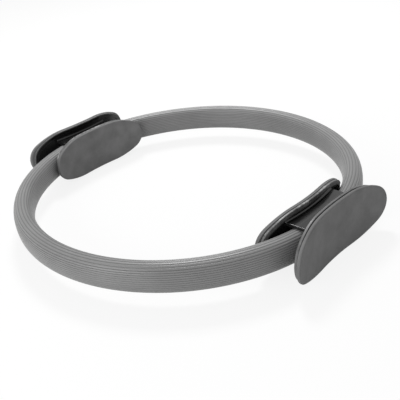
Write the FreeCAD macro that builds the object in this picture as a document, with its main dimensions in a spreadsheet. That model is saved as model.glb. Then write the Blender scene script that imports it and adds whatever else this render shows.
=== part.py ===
import FreeCAD, Part
import math
import os
import re
import Sketcher

# Pilates ring: a sprung hoop of three nested leaves in two ribbed soft sleeves, with a
# clamshell handle on each side. Each handle has an outer and an inner shell screwed
# together round the hoop, and a soft pad on each shell.
# The hoop's axis is Z, the right handle is on +X and the hoop's centre is the origin.

doc = FreeCAD.newDocument("pilates_ring")
dims = doc.addObject("Spreadsheet::Sheet", "dims")

# Driving dimensions in millimetres: name, value, meaning.
DRIVING = [
    ("hoop_radius", "170", "centreline radius of the hoop"),
    ("leaf_width", "14", "width of each spring leaf along the hoop's axis"),
    ("leaf_thickness", "1.8", "radial thickness of each spring leaf"),
    ("leaf_gap", "0.2", "play between neighbouring leaves"),
    ("leaf_split", "1.0", "gap between the two ends of a leaf"),
    ("leaf_clearance", "0.3", "play between the leaf pack and what holds it"),
    ("sleeve_width", "19.7", "radial width of the soft sleeve over its ribs"),
    ("sleeve_height", "28.2", "height of the soft sleeve over its ribs"),
    ("sleeve_fullness", "2.5", "exponent of the sleeve's oval section"),
    ("sleeve_ribs", "30", "ribs round the sleeve"),
    ("rib_depth", "0.45", "depth of the grooves between the ribs"),
    ("sleeve_insertion", "3.5", "how far a sleeve reaches into the tunnel of a handle"),
    ("sleeve_clearance", "0.5", "play between a sleeve and the shells"),
    ("sleeve_corner", "8", "rounding of the room that a shell leaves for a sleeve"),
    ("outer_stand_off", "2.75", "outer pad's face outside the sleeve, at its middle"),
    ("outer_face_radius", "259", "hollow of the outer pad's face"),
    ("outer_half_length", "70.4", "half length of the outer pad"),
    ("outer_half_height", "27.1", "half height of the outer pad"),
    ("outer_flat", "23.8", "half length of the outer pad's straight edge"),
    ("outer_end_drop", "6.2", "by how much the outer pad's end radius falls short of its half height"),
    ("outer_overhang", "3", "how far the outer pad reaches past its shell at each end"),
    ("inner_stand_off", "9.65", "inner pad's face inside the sleeve, at its middle"),
    ("inner_face_radius", "215", "hollow of the inner pad's face"),
    ("inner_half_length", "64", "half length of the inner pad"),
    ("inner_half_height", "24.5", "half height of the inner pad"),
    ("inner_flat", "21", "half length of the inner pad's straight edge"),
    ("inner_end_drop", "5.3", "by how much the inner pad's end radius falls short of its half height"),
    ("inner_overhang", "1", "how far the inner pad reaches past its shell at each end"),
    ("pad_thickness", "3.7", "thickness of a pad"),
    ("pad_edge", "2", "rounding of a pad's edge"),
    ("glue_line", "0.1", "glue between a pad and its shell"),
    ("land_height", "0.5", "step under a pad, which leaves a shadow gap round it"),
    ("land_inset", "1.8", "how far the step stands back from the pad's edge"),
    ("plate_thickness", "1.4", "wall of a shell's plate"),
    ("rim_width", "4.5", "width of the rim round a plate's hollow back"),
    ("rim_height", "1", "height of the rim round a plate's hollow back"),
    ("plate_edge", "0.5", "rounding of a plate's edges"),
    ("lip_edge", "0.8", "rounding of the tunnel's mouths, on the outside"),
    ("parting_offset", "4", "plane in which a handle's shells meet, inside the hoop's centreline"),
    ("web_half_length", "35.5", "half length of the tunnel between the plates"),
    ("web_wall", "2.4", "wall of the tunnel"),
    ("web_fillet", "2", "fillet from the tunnel up to a plate"),
    ("boss_radius", "4", "radius of a screw boss"),
    ("screw_y", "20", "screw places along Y"),
    ("screw_diameter", "3", "thread diameter of a shell screw"),
    ("screw_length", "16", "length of a shell screw under its head"),
    ("screw_head_diameter", "5.5", "head of a shell screw"),
    ("screw_head_height", "2", "height of a screw's head"),
    ("screw_socket", "2.5", "width across the flats of the head's socket"),
    ("screw_sink", "0.9", "how deep a screw's head lies under the inner pad"),
    ("pilot_spare", "0.8", "depth of a pilot hole past the screw's tip"),
    ("screw_clearance", "0.4", "play of a screw in its hole, on the diameter"),
    ("screw_bite", "0.1", "play of a screw's thread in its pilot hole, on the diameter"),
    ("stop_rib", "2", "thickness of the ribs that stop the sleeves"),
    ("seat_half_length", "9", "half length of the outer shell's seat for the leaves"),
    ("block_half_length", "26", "half length of the clamp block"),
    ("rivet_y", "20", "rivet places along the hoop"),
    ("rivet_diameter", "4", "shank of a leaf rivet"),
    ("rivet_head_diameter", "7.6", "head of a leaf rivet"),
    ("rivet_head_height", "1.6", "height of a rivet's head"),
    ("rivet_clearance", "0.4", "play of a rivet in its hole, on the diameter"),
    ("rivet_recess", "3", "depth of the clamp block's recess for a rivet's tail"),
    ("washer_diameter", "10", "outer diameter of a rivet's washer"),
    ("washer_thickness", "0.6", "thickness of a rivet's washer"),
]

# Sizes that follow from the driving dimensions.
DERIVED = [
    ("leaf_pack", "3 * leaf_thickness + 2 * leaf_gap"),
    ("pack_inside", "hoop_radius - leaf_pack / 2"),
    ("pack_outside", "hoop_radius + leaf_pack / 2"),
    ("screw_z", "leaf_width / 2 + leaf_clearance + boss_radius"),
    ("sleeve_room", "sleeve_height / 2 + sleeve_clearance"),
    ("tunnel_half", "max(sleeve_room; screw_z + boss_radius - web_wall)"),
    ("deck_z", "tunnel_half + web_wall"),
    ("web_top_z", "deck_z + web_fillet"),
    ("parting_x", "hoop_radius - parting_offset"),
    ("outer_face_x", "hoop_radius + sleeve_width / 2 + outer_stand_off"),
    ("outer_axis_x", "outer_face_x + outer_face_radius"),
    ("outer_end_radius", "outer_half_height - outer_end_drop"),
    ("outer_seat_x", "outer_face_x - pad_thickness"),
    ("outer_front_x", "outer_seat_x - land_height"),
    ("outer_back_x", "outer_front_x - plate_thickness"),
    ("outer_mid_radius", "outer_axis_x - (outer_front_x + outer_back_x) / 2"),
    ("inner_face_x", "hoop_radius - sleeve_width / 2 - inner_stand_off"),
    ("inner_axis_x", "inner_face_x - inner_face_radius"),
    ("inner_end_radius", "inner_half_height - inner_end_drop"),
    ("inner_seat_x", "inner_face_x + pad_thickness"),
    ("inner_front_x", "inner_seat_x + land_height"),
    ("inner_back_x", "inner_front_x + plate_thickness"),
    ("inner_mid_radius", "(inner_front_x + inner_back_x) / 2 - inner_axis_x"),
    ("sleeve_end", "web_half_length - sleeve_insertion"),
    ("stop_outer_y", "(hoop_radius - sleeve_width / 2) * sleeve_end / hoop_radius - sleeve_clearance"),
    ("stop_inner_y", "stop_outer_y - stop_rib"),
    ("stop_z", "leaf_width / 2 + leaf_clearance"),
    ("screw_near_y", "screw_y - screw_head_diameter / 2"),
    ("pad_back_at_screw", "inner_axis_x + sqrt((inner_seat_x - inner_axis_x)^2 - screw_near_y^2)"),
    ("screw_seat_x", "pad_back_at_screw + screw_sink + screw_head_height"),
    ("screw_tip_x", "screw_seat_x + screw_length"),
    ("block_recess_radius", "inner_back_x + leaf_clearance + rivet_recess"),
    ("washer_top_radius", "pack_outside + washer_thickness"),
]

for row, (alias, value, meaning) in enumerate(DRIVING, start=1):
    dims.set(f"A{row}", alias)
    dims.set(f"B{row}", value)
    dims.set(f"C{row}", meaning)
    dims.setAlias(f"B{row}", alias)
for row, (alias, formula) in enumerate(DERIVED, start=len(DRIVING) + 2):
    dims.set(f"A{row}", alias)
    dims.set(f"B{row}", "=" + formula)
    dims.setAlias(f"B{row}", alias)
doc.recompute()
ALIASES = {entry[0] for entry in DRIVING + DERIVED}

# Two lengths closer than this count as equal.
TOLERANCE = 0.001


def size(alias):
    return float(getattr(dims, alias))


def cells(expression):
    """Put the sheet's name before each alias in an expression."""
    def full_name(word):
        return f"dims.{word[0]}" if word[0] in ALIASES else word[0]

    return re.sub(r"[a-z_]+", full_name, expression)


def value_of(expression):
    result = dims.evalExpression(cells(expression))
    return float(getattr(result, "Value", result))


def new_body(name):
    return doc.addObject("PartDesign::Body", name)


def plane(body, role):
    return next(item for item in body.Origin.OriginFeatures if item.Role == role)


def new_sketch(body, role, name, offset=None):
    """A sketch on one of the body's origin planes, moved off it by an expression."""
    sketch = body.newObject("Sketcher::SketchObject", name)
    sketch.AttachmentSupport = [(plane(body, role), "")]
    sketch.MapMode = "FlatFace"
    if offset:
        sketch.setExpression("AttachmentOffset.Base.z", cells(offset))
    return sketch


def add_bound(sketch, constraint, expression):
    index = sketch.addConstraint(constraint)
    sketch.setExpression(f"Constraints[{index}]", cells(expression))


def pin_point(sketch, geometry, position, x, y):
    """Bind a point's two coordinates, each an expression, from the sketch's origin."""
    for kind, expression in (("DistanceX", x), ("DistanceY", y)):
        distance = value_of(expression)
        add_bound(sketch, Sketcher.Constraint(kind, -1, 1, geometry, position, distance), expression)


def draw_profile(sketch, corners):
    """Draw a closed outline, anticlockwise. A corner is (x, y) where a line leaves it,
    (x, y, radius) where an arc that bulges outwards does, and (x, y, radius, "in") where
    a hollow arc does. Every coordinate and radius is an expression in the sheet's names."""
    points = [FreeCAD.Vector(value_of(corner[0]), value_of(corner[1]), 0) for corner in corners]
    spans = []
    for number, corner in enumerate(corners):
        start = points[number]
        end = points[(number + 1) % len(points)]
        if len(corner) == 2:
            index = sketch.addGeometry(Part.LineSegment(start, end))
            spans.append((index, 1, 2))
            continue
        radius = value_of(corner[2])
        hollow = len(corner) == 4
        chord = end - start
        across = FreeCAD.Vector(-chord.y, chord.x, 0).normalize()
        depth = math.sqrt(radius ** 2 - (chord.Length / 2) ** 2)
        centre = (start + end) * 0.5 + across * (-depth if hollow else depth)
        first, last = (end, start) if hollow else (start, end)
        angles = [math.atan2(point.y - centre.y, point.x - centre.x) for point in (first, last)]
        circle = Part.Circle(centre, FreeCAD.Vector(0, 0, 1), radius)
        index = sketch.addGeometry(Part.ArcOfCircle(circle, angles[0], angles[1]))
        spans.append((index, 2, 1) if hollow else (index, 1, 2))
    for number, (index, first, last) in enumerate(spans):
        following = spans[(number + 1) % len(spans)]
        sketch.addConstraint(Sketcher.Constraint("Coincident", index, last, following[0], following[1]))
    for (index, first, last), corner in zip(spans, corners):
        pin_point(sketch, index, first, corner[0], corner[1])
        if len(corner) > 2:
            add_bound(sketch, Sketcher.Constraint("Radius", index, value_of(corner[2])), corner[2])


def draw_circle(sketch, x, y, radius):
    middle = FreeCAD.Vector(value_of(x), value_of(y), 0)
    index = sketch.addGeometry(Part.Circle(middle, FreeCAD.Vector(0, 0, 1), value_of(radius)))
    pin_point(sketch, index, 3, x, y)
    add_bound(sketch, Sketcher.Constraint("Radius", index, value_of(radius)), radius)


def draw_box(sketch, x0, y0, x1, y1):
    draw_profile(sketch, [(x0, y0), (x1, y0), (x1, y1), (x0, y1)])


def draw_axis(sketch, x):
    """A construction line along the sketch's upward direction, for a revolved feature."""
    foot = FreeCAD.Vector(value_of(x), 0, 0)
    index = sketch.addGeometry(Part.LineSegment(foot, foot + FreeCAD.Vector(0, 1, 0)), True)
    pin_point(sketch, index, 1, x, "0")
    pin_point(sketch, index, 2, x, "1")


def fuse(name, pieces):
    joined = doc.addObject("Part::MultiFuse", name)
    joined.Shapes = pieces
    return joined


def cut(name, base, tool):
    result = doc.addObject("Part::Cut", name)
    result.Base = base
    result.Tool = tool
    return result


def outline_corners(which, inset, overhang):
    """The long oval of a pad: straight edges, shoulder arcs and end arcs, tangent to each
    other, drawn back by an inset. For a shell it is shorter by the pad's overhang."""
    flat = f"{which}_flat"
    height = f"{which}_half_height"
    end = f"{which}_end_radius"
    reach = f"({which}_half_length - {end} - {overhang})"
    spread = f"({reach} - {flat})"
    shoulder = f"(({spread}^2 + {height}^2 - {end}^2) / (2 * ({height} - {end})))"
    joint_y = f"({reach} + ({end} - {inset}) * {spread} / ({shoulder} - {end}))"
    joint_z = f"(({end} - {inset}) * ({shoulder} - {height}) / ({shoulder} - {end}))"
    top = f"({height} - {inset})"
    end_arc = f"({end} - {inset})"
    shoulder_arc = f"({shoulder} - {inset})"
    return [
        (f"-{flat}", f"-{top}"),
        (flat, f"-{top}", shoulder_arc),
        (joint_y, f"-{joint_z}", end_arc),
        (joint_y, joint_z, shoulder_arc),
        (flat, top),
        (f"-{flat}", top, shoulder_arc),
        (f"-{joint_y}", joint_z, end_arc),
        (f"-{joint_y}", f"-{joint_z}", shoulder_arc),
    ]


def add_revolution(body, sketch, angle):
    """Turn a sketch about its construction line, half of the angle to each side."""
    feature = body.newObject("PartDesign::Revolution", sketch.Name + "_turned")
    feature.Profile = sketch
    feature.ReferenceAxis = (sketch, ["Axis0"])
    feature.Midplane = True
    feature.setExpression("Angle", cells(angle))
    doc.recompute()
    return feature


def add_pad(body, sketch, length, both=False, back=False):
    feature = body.newObject("PartDesign::Pad", sketch.Name + "_raised")
    feature.Profile = sketch
    feature.SideType = "Symmetric" if both else "One side"
    feature.Reversed = back
    feature.setExpression("Length", cells(length))
    doc.recompute()
    return feature


def add_pocket(body, sketch, depth=None, may_miss=False):
    """Cut a sketch through the body both ways, or to a depth against the sketch's normal."""
    uncut = body.Tip.Shape.Volume
    feature = body.newObject("PartDesign::Pocket", sketch.Name + "_cut")
    feature.Profile = sketch
    if depth:
        feature.Type = "Length"
        feature.setExpression("Length", cells(depth))
    else:
        feature.Type = "ThroughAll"
        feature.SideType = "Symmetric"
    doc.recompute()
    if not may_miss and not feature.Shape.Volume < uncut:
        raise RuntimeError(sketch.Name + " cuts nothing")
    return feature


def trim_to_outline(body, which, inset, name, overhang="0", may_miss=False):
    """Cut away everything outside the outline of a pad or a shell, seen along X."""
    sketch = new_sketch(body, "YZ_Plane", name)
    far = f"2 * {which}_half_length"
    draw_box(sketch, f"-{far}", f"-{far}", far, far)
    draw_profile(sketch, outline_corners(which, inset, overhang))
    return add_pocket(body, sketch, may_miss=may_miss)


def face_angle(which):
    """An opening angle that reaches past both ends of a plate."""
    return f"3 * asin({which}_half_length / {which}_face_radius)"


def in_order(one, other):
    """Two expressions, the smaller first."""
    return sorted((one, other), key=value_of)


def curved_layer(body, which, depths, name):
    """A layer of the handle's face between two depths, hollow about the face's axis."""
    half_height = f"{which}_half_height"
    sketch = new_sketch(body, "XZ_Plane", name)
    draw_axis(sketch, f"{which}_axis_x")
    draw_box(sketch, depths[0], f"-{half_height}", depths[1], half_height)
    add_revolution(body, sketch, face_angle(which))


def round_edges(body, base, wanted, radius):
    """Round those edges of the last feature whose middles are wanted."""
    edges = []
    for number, edge in enumerate(base.Shape.Edges, start=1):
        if wanted(edge.valueAt((edge.FirstParameter + edge.LastParameter) / 2)):
            edges.append(f"Edge{number}")
    rounding = body.newObject("PartDesign::Fillet", base.Name + "_rounded")
    rounding.Base = (base, edges)
    rounding.setExpression("Radius", cells(radius))
    doc.recompute()


def on_layers(which, *depths):
    """A test for points on curved faces of a handle, each given by its depth in the middle."""
    axis_x = size(f"{which}_axis_x")
    radii = [abs(value_of(depth) - axis_x) for depth in depths]

    def wanted(point):
        reach = math.hypot(point.x - axis_x, point.y)
        return any(abs(reach - radius) < TOLERANCE for radius in radii)

    return wanted


def make_pad(name, which, near, far):
    """A soft pad with a hollow face and rounded edges, glued to the step on its shell."""
    body = new_body(name)
    curved_layer(body, which, (near, far), name + "_layer")
    trimmed = trim_to_outline(body, which, "0", name + "_outline")
    front = on_layers(which, f"{which}_face_x")
    round_edges(body, trimmed, front, "min(pad_edge; pad_thickness - 2 * glue_line)")
    return body


def mirror_down(corners):
    """The same outline below the middle, still anticlockwise."""
    count = len(corners)
    mirrored = []
    for number in range(count):
        corner = corners[(count - number) % count]
        span = corners[(count - number - 1) % count][2:]
        mirrored.append((corner[0], f"-{corner[1]}") + span)
    return mirrored


def draw_web(sketch, which):
    """The tunnel's two walls in section, with their fillets up to the plate. They run past
    the parting plane, because they curve with the plate and are cut flat there later."""
    draw_axis(sketch, f"{which}_axis_x")
    back = f"{which}_back_x"
    root = f"({which}_front_x + {which}_back_x) / 2"
    if which == "outer":
        foot = f"({back} - web_fillet)"
        past = "(parting_x - web_half_length / 3)"
        upper = [
            (root, "tunnel_half"), (root, "web_top_z"), (back, "web_top_z", "web_fillet", "in"),
            (foot, "deck_z"), (past, "deck_z"), (past, "tunnel_half"),
        ]
    else:
        foot = f"({back} + web_fillet)"
        past = "(parting_x + web_half_length / 3)"
        upper = [
            (root, "tunnel_half"), (past, "tunnel_half"), (past, "deck_z"),
            (foot, "deck_z", "web_fillet", "in"), (back, "web_top_z"), (root, "web_top_z"),
        ]
    draw_profile(sketch, upper)
    draw_profile(sketch, mirror_down(upper))


SCREW_PLACES = [(y, z) for y in ("screw_y", "-screw_y") for z in ("screw_z", "-screw_z")]


def screw_circles(body, name, offset, radius):
    sketch = new_sketch(body, "YZ_Plane", name, offset)
    for y, z in SCREW_PLACES:
        draw_circle(sketch, y, z, radius)
    return sketch


def make_face(name, which):
    """A shell's curved plate with the step for its pad and, on its back, a rim. The ends of
    the inner plate are thinned where the sleeves pass."""
    inward = "-" if which == "outer" else "+"
    front = f"{which}_front_x"
    back = f"{which}_back_x"
    rim_back = f"({back} {inward} rim_height)"
    overhang = f"{which}_overhang"
    plate = new_body(name + "_plate")
    curved_layer(plate, which, in_order(front, rim_back), name + "_plate_layer")
    trimmed = trim_to_outline(plate, which, "0", name + "_plate_outline", overhang)
    edge_limit = "min(plate_edge; (plate_thickness + rim_height) / 3)"
    round_edges(plate, trimmed, on_layers(which, front, rim_back), edge_limit)
    step = new_body(name + "_step")
    curved_layer(step, which, in_order(front, f"{which}_seat_x"), name + "_step_layer")
    trim_to_outline(step, which, "land_inset", name + "_step_outline", overhang)
    hollow = new_body(name + "_hollow")
    past_rim = f"({back} {inward} 2 * rim_height)"
    curved_layer(hollow, which, in_order(back, past_rim), name + "_hollow_layer")
    trim_to_outline(hollow, which, "rim_width", name + "_hollow_outline", overhang)
    face = cut(name, fuse(name + "_solid", [plate, step]), hollow)
    if which == "outer":
        return face
    relief = new_body(name + "_relief")
    section = new_sketch(relief, "XZ_Plane", name + "_relief_section")
    draw_axis(section, "0")
    draw_profile(section, relief_corners())
    add_revolution(relief, section, face_angle(which))
    return cut(name + "_thinned", face, relief)


def on_mouth(which):
    """A test for points on the outer edges of the tunnel's mouths, up to the plate."""
    end = size("web_half_length")
    deck = size("deck_z") - TOLERANCE
    top = size("web_top_z") - TOLERANCE
    at_root = on_layers(which, f"({which}_front_x + {which}_back_x) / 2")

    def wanted(point):
        at_end = abs(abs(point.y) - end) < TOLERANCE
        return at_end and deck < abs(point.z) < top and not at_root(point)

    return wanted


def make_web(name, which):
    """A shell's half of the tunnel that the hoop passes through, with screw bosses and the
    ribs that stop the sleeves, and on the outer shell the seat for the leaves."""
    outer = which == "outer"
    body = new_body(name)
    walls = new_sketch(body, "XZ_Plane", name + "_walls")
    draw_web(walls, which)
    add_revolution(body, walls, face_angle(which))
    plan = new_sketch(body, "XY_Plane", name + "_plan")
    far = "2 * outer_axis_x"
    draw_box(plan, f"-{far}", f"-{far}", far, far)
    away = f"(parting_x {'+' if outer else '-'} 2 * web_half_length)"
    near, far_side = in_order("parting_x", away)
    draw_box(plan, near, "-web_half_length", far_side, "web_half_length")
    trimmed = add_pocket(body, plan)
    round_edges(body, trimmed, on_mouth(which), "min(lip_edge; web_wall / 2)")
    # The outline cuts the web only where its fillets stand higher than the plate.
    trim_to_outline(body, which, "0", name + "_outline", f"{which}_overhang", may_miss=True)

    root = f"({which}_axis_x {'-' if outer else '+'} sqrt({which}_mid_radius^2 - {{}}^2))"
    depth = f"abs({root} - parting_x)"
    bosses = screw_circles(body, name + "_bosses", "parting_x", "boss_radius")
    add_pad(body, bosses, depth.format("screw_y"), back=not outer)
    ribs = new_sketch(body, "YZ_Plane", name + "_stops", "parting_x")
    wall_middle = "(tunnel_half + web_wall / 2)"
    for y0, y1 in (("stop_inner_y", "stop_outer_y"), ("-stop_outer_y", "-stop_inner_y")):
        draw_box(ribs, y0, "stop_z", y1, wall_middle)
        draw_box(ribs, y0, f"-{wall_middle}", y1, "-stop_z")
    add_pad(body, ribs, depth.format("stop_inner_y"), back=not outer)
    if outer:
        seat = new_sketch(body, "XY_Plane", name + "_seat")
        seat_radius = "(pack_outside + leaf_clearance)"
        corner_x = f"sqrt({seat_radius}^2 - seat_half_length^2)"
        wall_x = "(outer_front_x + outer_back_x) / 2"
        draw_profile(seat, [
            (corner_x, "-seat_half_length"), (wall_x, "-seat_half_length"),
            (wall_x, "seat_half_length"), (corner_x, "seat_half_length", seat_radius, "in"),
        ])
        add_pad(body, seat, "leaf_width", both=True)
    return body


def make_drills(name, which):
    """The screw holes of a shell: pilot holes in the outer one, and in the inner one holes
    with room for the heads."""
    body = new_body(name)
    if which == "outer":
        pilots = screw_circles(body, name + "_pilots", "parting_x", "(screw_diameter + screw_bite) / 2")
        add_pad(body, pilots, "screw_tip_x - parting_x + pilot_spare")
        return body
    holes = screw_circles(body, name + "_holes", "parting_x", "(screw_diameter + screw_clearance) / 2")
    add_pad(body, holes, "parting_x - inner_face_x", back=True)
    head_room = "(screw_head_diameter + screw_clearance) / 2"
    sinks = screw_circles(body, name + "_sinks", "screw_seat_x", head_room)
    add_pad(body, sinks, "screw_seat_x - inner_face_x", back=True)
    return body


def make_shell(name, which):
    """One half of a handle, moulded in one piece."""
    blank = fuse(name + "_blank", [make_face(name + "_face", which), make_web(name + "_web", which)])
    return cut(name, blank, make_drills(name + "_drills", which))


def relief_corners():
    """The sleeve's section with its play, as a rounded box round the hoop's centreline."""
    half = "(sleeve_width / 2 + sleeve_clearance)"
    top = "(sleeve_room - sleeve_clearance / 2)"
    near = f"(hoop_radius - {half})"
    far = f"(hoop_radius + {half})"
    turn = "sleeve_corner"
    return [
        (f"({near} + {turn})", f"-{top}"), (f"({far} - {turn})", f"-{top}", turn),
        (far, f"-({top} - {turn})"), (far, f"({top} - {turn})", turn),
        (f"({far} - {turn})", top), (f"({near} + {turn})", top, turn),
        (near, f"({top} - {turn})"), (near, f"-({top} - {turn})", turn),
    ]


def hexagon_corners(y, z):
    """A screw's socket, with two of its corners level with its middle."""
    far = "screw_socket / sqrt(3)"
    near = "screw_socket / (2 * sqrt(3))"
    flat = "screw_socket / 2"
    return [
        (f"({y} + {far})", z),
        (f"({y} + {near})", f"({z} + {flat})"), (f"({y} - {near})", f"({z} + {flat})"),
        (f"({y} - {far})", z),
        (f"({y} - {near})", f"({z} - {flat})"), (f"({y} + {near})", f"({z} - {flat})"),
    ]


def make_screws(name):
    """Four shell screws with round heads and hexagon sockets."""
    body = new_body(name)
    shanks = screw_circles(body, name + "_shanks", "screw_seat_x", "screw_diameter / 2")
    add_pad(body, shanks, "screw_length")
    heads = screw_circles(body, name + "_heads", "screw_seat_x", "screw_head_diameter / 2")
    add_pad(body, heads, "screw_head_height", back=True)
    sockets = new_sketch(body, "YZ_Plane", name + "_sockets", "screw_seat_x - screw_head_height / 2")
    for y, z in SCREW_PLACES:
        draw_profile(sockets, hexagon_corners(y, z))
    add_pocket(body, sockets, "screw_head_height")
    return body


def radial_pair(name, corners):
    """Two turned pieces on the hoop's radii either side of the handle's middle."""
    body = new_body(name)
    sketch = new_sketch(body, "XY_Plane", name + "_profile")
    draw_profile(sketch, corners)
    turned = body.newObject("PartDesign::Revolution", name + "_turned")
    turned.Profile = sketch
    turned.ReferenceAxis = (sketch, ["H_Axis"])
    turned.Angle = 360
    pair = body.newObject("PartDesign::PolarPattern", name + "_pair")
    pair.Originals = [turned]
    pair.Axis = (plane(body, "Z_Axis"), [""])
    pair.setExpression("Angle", cells(f"2 * {RIVET_ANGLE}"))
    pair.Occurrences = 2
    body.Tip = pair
    return body


def make_rivets(name):
    """Two rivets through the leaves and the clamp block, domed at both ends."""
    head = "rivet_head_diameter / 2"
    shank = "rivet_diameter / 2"
    dome = f"((({head})^2 + rivet_head_height^2) / (2 * rivet_head_height))"
    return radial_pair(name, [
        ("block_recess_radius - rivet_head_height", "0"),
        ("washer_top_radius + rivet_head_height", "0", dome),
        ("washer_top_radius", head), ("washer_top_radius", shank),
        ("block_recess_radius", shank), ("block_recess_radius", head, dome),
    ])


def make_washers(name):
    """Two flat washers between the outer leaf and the rivets' heads."""
    rim = "washer_diameter / 2"
    return radial_pair(name, [
        ("pack_outside", RIVET_BORE), ("washer_top_radius", RIVET_BORE),
        ("washer_top_radius", rim), ("pack_outside", rim),
    ])


def about_hoop(angle):
    """A placement turned about the hoop's axis, as an expression."""
    return f"placement(vector(0; 0; 0); rotation(vector(0; 0; 1); {cells(angle)}))"


def radial_bore(name, radius, reach, angle):
    """A round cutter from the hoop's axis outwards, at an angle from X."""
    cutter = doc.addObject("Part::Cylinder", name)
    cutter.setExpression("Radius", cells(radius))
    cutter.setExpression("Height", cells(reach))
    outwards = "placement(vector(0; 0; 0); rotation(vector(0; 1; 0); 90))"
    cutter.setExpression("Placement", f"{about_hoop(angle)} * {outwards}")
    return cutter


RIVET_ANGLE = "asin(rivet_y / hoop_radius)"
RIVET_BORE = "(rivet_diameter + rivet_clearance) / 2"
rivet_angles = [f"{turn} {sign} {RIVET_ANGLE}" for turn in ("0 deg", "180 deg") for sign in ("+", "-")]
rivet_bores = fuse("rivet_bores", [
    radial_bore(f"rivet_bore_{number}", RIVET_BORE, "2 * hoop_radius", angle)
    for number, angle in enumerate(rivet_angles, start=1)
])


def make_block(name):
    """The block that holds the leaf pack off the inner plate, riveted to the leaves."""
    body = new_body(name + "_blank")
    plan = new_sketch(body, "XY_Plane", name + "_plan")
    near_radius = "(inner_back_x + leaf_clearance - inner_axis_x)"
    far_radius = "(pack_inside - leaf_clearance)"
    near = f"(inner_axis_x + sqrt({near_radius}^2 - block_half_length^2))"
    far = f"sqrt({far_radius}^2 - block_half_length^2)"
    draw_profile(plan, [
        (near, "-block_half_length"), (far, "-block_half_length", far_radius),
        (far, "block_half_length"), (near, "block_half_length", near_radius, "in"),
    ])
    add_pad(body, plan, "leaf_width", both=True)
    recess = "(rivet_head_diameter / 2 + rivet_clearance)"
    cutters = [
        radial_bore(f"{name}_recess_{number}", recess, "block_recess_radius", angle)
        for number, angle in enumerate(rivet_angles[:2], start=1)
    ]
    return cut(name, body, fuse(name + "_cutters", [rivet_bores] + cutters))


def make_leaf(name, place, split_turn):
    """One split spring leaf, counted from the inside of the pack."""
    inside = f"(pack_inside + {place} * (leaf_thickness + leaf_gap))"
    rim = doc.addObject("Part::Cylinder", name + "_rim")
    rim.setExpression("Radius", cells(f"{inside} + leaf_thickness"))
    hollow = doc.addObject("Part::Cylinder", name + "_hollow")
    hollow.setExpression("Radius", cells(inside))
    split = doc.addObject("Part::Box", name + "_split")
    split.setExpression("Length", cells("2 * hoop_radius"))
    split.setExpression("Width", cells("leaf_split"))
    corner = "vector(0; -dims.leaf_split / 2; -dims.leaf_width)"
    split.setExpression("Placement", f"{about_hoop(split_turn)} * placement({corner}; rotation(0; 0; 0))")
    for piece, share in ((rim, 1), (hollow, 2), (split, 2)):
        piece.setExpression("Height", cells(f"{share} * leaf_width"))
    for piece, share in ((rim, 0.5), (hollow, 1)):
        piece.setExpression("Placement.Base.z", cells(f"-{share} * leaf_width"))
    ring = cut(name + "_ring", rim, hollow)
    return cut(name, ring, fuse(name + "_cutters", [split, rivet_bores]))


def make_sleeve(name, turn):
    """A soft tube round half of the hoop, ribbed along its length, with a slot for the
    leaf pack. Each rib is an arc from groove to groove over its crest."""
    half_width = size("sleeve_width") / 2
    half_height = size("sleeve_height") / 2
    ribs = round(size("sleeve_ribs"))
    depth = size("rib_depth")

    def on_oval(step, drawn_in):
        angle = math.pi * step / ribs
        power = size("sleeve_fullness")
        wide = abs(math.cos(angle) / (half_width - drawn_in)) ** power
        high = abs(math.sin(angle) / (half_height - drawn_in)) ** power
        reach = (wide + high) ** (-1 / power)
        return FreeCAD.Vector(size("hoop_radius") + reach * math.cos(angle), 0, reach * math.sin(angle))

    arcs = []
    for rib in range(ribs):
        groove = on_oval(2 * rib, depth)
        crest = on_oval(2 * rib + 1, 0)
        next_groove = on_oval(2 * rib + 2, depth)
        arcs.append(Part.Arc(groove, crest, next_groove).toShape())
    near = size("pack_inside") - size("leaf_clearance")
    far = size("pack_outside") + size("leaf_clearance")
    top = size("leaf_width") / 2 + size("leaf_clearance")
    slot = [(near, -top), (far, -top), (far, top), (near, top), (near, -top)]
    bore = Part.makePolygon([FreeCAD.Vector(x, 0, z) for x, z in slot])
    section = Part.makeFace([Part.Wire(arcs), bore], "Part::FaceMakerBullseye")
    end_angle = math.degrees(math.asin(size("sleeve_end") / size("hoop_radius")))
    axis = FreeCAD.Vector(0, 0, 1)
    section.rotate(FreeCAD.Vector(), axis, end_angle)
    sleeve = doc.addObject("Part::Feature", name)
    sleeve.Shape = section.revolve(FreeCAD.Vector(), axis, 180 - 2 * end_angle)
    sleeve.Placement = FreeCAD.Placement(FreeCAD.Vector(), axis, turn)
    return sleeve


# The leaves lie inside each other. The middle one is split inside the right handle and its
# neighbours inside the left one, so that each joint is bridged.
nodes = {
    "leaf_inner": make_leaf("leaf_inner", 0, "180 deg"),
    "leaf_middle": make_leaf("leaf_middle", 1, "0 deg"),
    "leaf_outer": make_leaf("leaf_outer", 2, "180 deg"),
    "sleeve_rear": make_sleeve("sleeve_rear", 0),
    "sleeve_front": make_sleeve("sleeve_front", 180),
}

# The two handles are alike, each turned half round the hoop from the other.
for side, turn in (("right", "0 deg"), ("left", "180 deg")):
    handle = {
        "outer_pad": make_pad(f"{side}_outer_pad", "outer", "(outer_seat_x + glue_line)", "outer_face_x"),
        "inner_pad": make_pad(f"{side}_inner_pad", "inner", "inner_face_x", "(inner_seat_x - glue_line)"),
        "outer_shell": make_shell(f"{side}_outer_shell", "outer"),
        "inner_shell": make_shell(f"{side}_inner_shell", "inner"),
        "clamp_block": make_block(f"{side}_clamp_block"),
        "shell_screws": make_screws(f"{side}_shell_screws"),
    }
    for piece in handle.values():
        piece.setExpression("Placement", about_hoop(turn))
    handle["leaf_rivets"] = make_rivets(f"{side}_leaf_rivets")
    handle["rivet_washers"] = make_washers(f"{side}_rivet_washers")
    for part_name in ("leaf_rivets", "rivet_washers"):
        handle[part_name].setExpression("Placement", about_hoop(f"{turn} - {RIVET_ANGLE}"))
    for part_name, piece in handle.items():
        nodes[f"{side}_{part_name}"] = piece

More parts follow.
